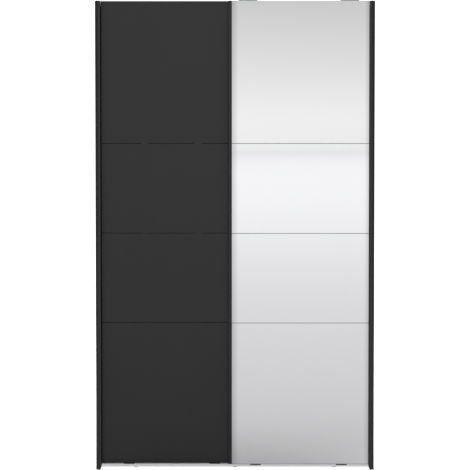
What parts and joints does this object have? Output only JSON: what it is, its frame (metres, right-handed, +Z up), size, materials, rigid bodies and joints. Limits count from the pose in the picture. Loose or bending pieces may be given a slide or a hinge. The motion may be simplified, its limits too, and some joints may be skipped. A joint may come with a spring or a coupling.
{
  "type": "sliding door wardrobe",
  "caption": "Tall free-standing wardrobe with a black board carcass, a plain black sliding door behind a mirrored sliding door, shelves and a hanging space.",
  "frame": {"origin": "middle of the footprint on the floor", "axes": "+Z up, the doors face -Y, +X to the right as seen from the front"},
  "size_m": [1.2, 0.64, 2.03],
  "materials": {
    "carcass_board": "black melamine foil on particleboard, fine matt texture",
    "door_board": "black melamine foil on particleboard, fine matt texture",
    "mirror_glass": "clear silvered float glass",
    "hardboard": "pressed fibre, smooth front and brown back",
    "black_pvc": "extruded, satin",
    "rail_aluminium": "extruded, natural anodised",
    "black_anodised_aluminium": "extruded, black anodised",
    "black_nylon": "moulded, matt",
    "white_nylon": "moulded, matt",
    "plated_fixing": "bright zinc plated",
    "die_cast_zinc": "die cast, plain",
    "galvanised_steel": "pressed strip, zinc plated",
    "beech": "turned, fluted",
    "chromed_tube": "polished chrome plate"
  },
  "bodies": {
    "carcass": {"side_panel_left": "carcass_board", "side_panel_right": "carcass_board", "top_board": "carcass_board", "bottom_board": "carcass_board", "centre_partition": "carcass_board", "back_panel_left": "hardboard", "back_panel_right": "hardboard", "back_joint_strip": "black_pvc", "top_rail": "rail_aluminium", "bottom_track": "rail_aluminium", "track_stops": "black_nylon", "carcass_screws": "plated_fixing", "hat_shelf": "carcass_board", "shelf_1": "carcass_board", "shelf_2": "carcass_board", "shelf_3": "carcass_board", "shelf_4": "carcass_board", "shelf_pins": "plated_fixing", "clothes_rail": "chromed_tube", "rail_sockets": "die_cast_zinc", "cam_locks": "die_cast_zinc", "cam_bolts": "plated_fixing", "dowels": "beech", "side_glides": "black_nylon", "base_glides": "black_nylon", "wall_brackets": "galvanised_steel"},
    "left_door": {"left_door_panel_1": "door_board", "left_door_panel_2": "door_board", "left_door_panel_3": "door_board", "left_door_panel_4": "door_board", "left_door_edge_profile": "black_anodised_aluminium", "left_door_tie_rails": "galvanised_steel", "left_door_screws": "plated_fixing", "left_carriage_brackets": "galvanised_steel", "left_carriage_axles": "plated_fixing", "left_door_guides": "black_nylon"},
    "right_door": {"right_door_panel_1": "door_board", "right_door_panel_2": "door_board", "right_door_panel_3": "door_board", "right_door_panel_4": "door_board", "mirror_pane_1": "mirror_glass", "mirror_pane_2": "mirror_glass", "mirror_pane_3": "mirror_glass", "mirror_pane_4": "mirror_glass", "right_door_edge_profile": "black_anodised_aluminium", "right_door_tie_rails": "galvanised_steel", "right_door_screws": "plated_fixing", "right_carriage_brackets": "galvanised_steel", "right_height_adjusters": "black_nylon", "right_carriage_axles": "plated_fixing", "right_door_guides": "black_nylon"},
    "left_wheel_1": {"left_wheel_1": "white_nylon"},
    "left_wheel_2": {"left_wheel_2": "white_nylon"},
    "left_wheel_3": {"left_wheel_3": "white_nylon"},
    "left_wheel_4": {"left_wheel_4": "white_nylon"},
    "right_wheel_1": {"right_wheel_1": "white_nylon"},
    "right_wheel_2": {"right_wheel_2": "white_nylon"},
    "right_wheel_3": {"right_wheel_3": "white_nylon"},
    "right_wheel_4": {"right_wheel_4": "white_nylon"}
  },
  "joints": [
    {"name": "left_door_slide", "type": "slide", "parent": "carcass", "child": "left_door", "axis": [1, 0, 0], "range_m": [0, 0.548]},
    {"name": "right_door_slide", "type": "slide", "parent": "carcass", "child": "right_door", "axis": [-1, 0, 0], "range_m": [0, 0.548]},
    {"name": "left_wheel_1_spin", "type": "hinge", "parent": "left_door", "child": "left_wheel_1", "pos_m": [-0.52, -0.25, 1.9983], "axis": [0, 1, 0], "continuous": true},
    {"name": "left_wheel_2_spin", "type": "hinge", "parent": "left_door", "child": "left_wheel_2", "pos_m": [-0.466, -0.25, 1.9983], "axis": [0, 1, 0], "continuous": true},
    {"name": "left_wheel_3_spin", "type": "hinge", "parent": "left_door", "child": "left_wheel_3", "pos_m": [-0.082, -0.25, 1.9983], "axis": [0, 1, 0], "continuous": true},
    {"name": "left_wheel_4_spin", "type": "hinge", "parent": "left_door", "child": "left_wheel_4", "pos_m": [-0.028, -0.25, 1.9983], "axis": [0, 1, 0], "continuous": true},
    {"name": "right_wheel_1_spin", "type": "hinge", "parent": "right_door", "child": "right_wheel_1", "pos_m": [0.028, -0.222, 1.9983], "axis": [0, 1, 0], "continuous": true},
    {"name": "right_wheel_2_spin", "type": "hinge", "parent": "right_door", "child": "right_wheel_2", "pos_m": [0.082, -0.222, 1.9983], "axis": [0, 1, 0], "continuous": true},
    {"name": "right_wheel_3_spin", "type": "hinge", "parent": "right_door", "child": "right_wheel_3", "pos_m": [0.466, -0.222, 1.9983], "axis": [0, 1, 0], "continuous": true},
    {"name": "right_wheel_4_spin", "type": "hinge", "parent": "right_door", "child": "right_wheel_4", "pos_m": [0.52, -0.222, 1.9983], "axis": [0, 1, 0], "continuous": true}
  ],
  "couplings": [
    {"joint": "left_wheel_1_spin", "follows": "left_door_slide", "rad_per_m": 100},
    {"joint": "left_wheel_2_spin", "follows": "left_door_slide", "rad_per_m": 100},
    {"joint": "left_wheel_3_spin", "follows": "left_door_slide", "rad_per_m": 100},
    {"joint": "left_wheel_4_spin", "follows": "left_door_slide", "rad_per_m": 100},
    {"joint": "right_wheel_1_spin", "follows": "right_door_slide", "rad_per_m": -100},
    {"joint": "right_wheel_2_spin", "follows": "right_door_slide", "rad_per_m": -100},
    {"joint": "right_wheel_3_spin", "follows": "right_door_slide", "rad_per_m": -100},
    {"joint": "right_wheel_4_spin", "follows": "right_door_slide", "rad_per_m": -100}
  ]
}
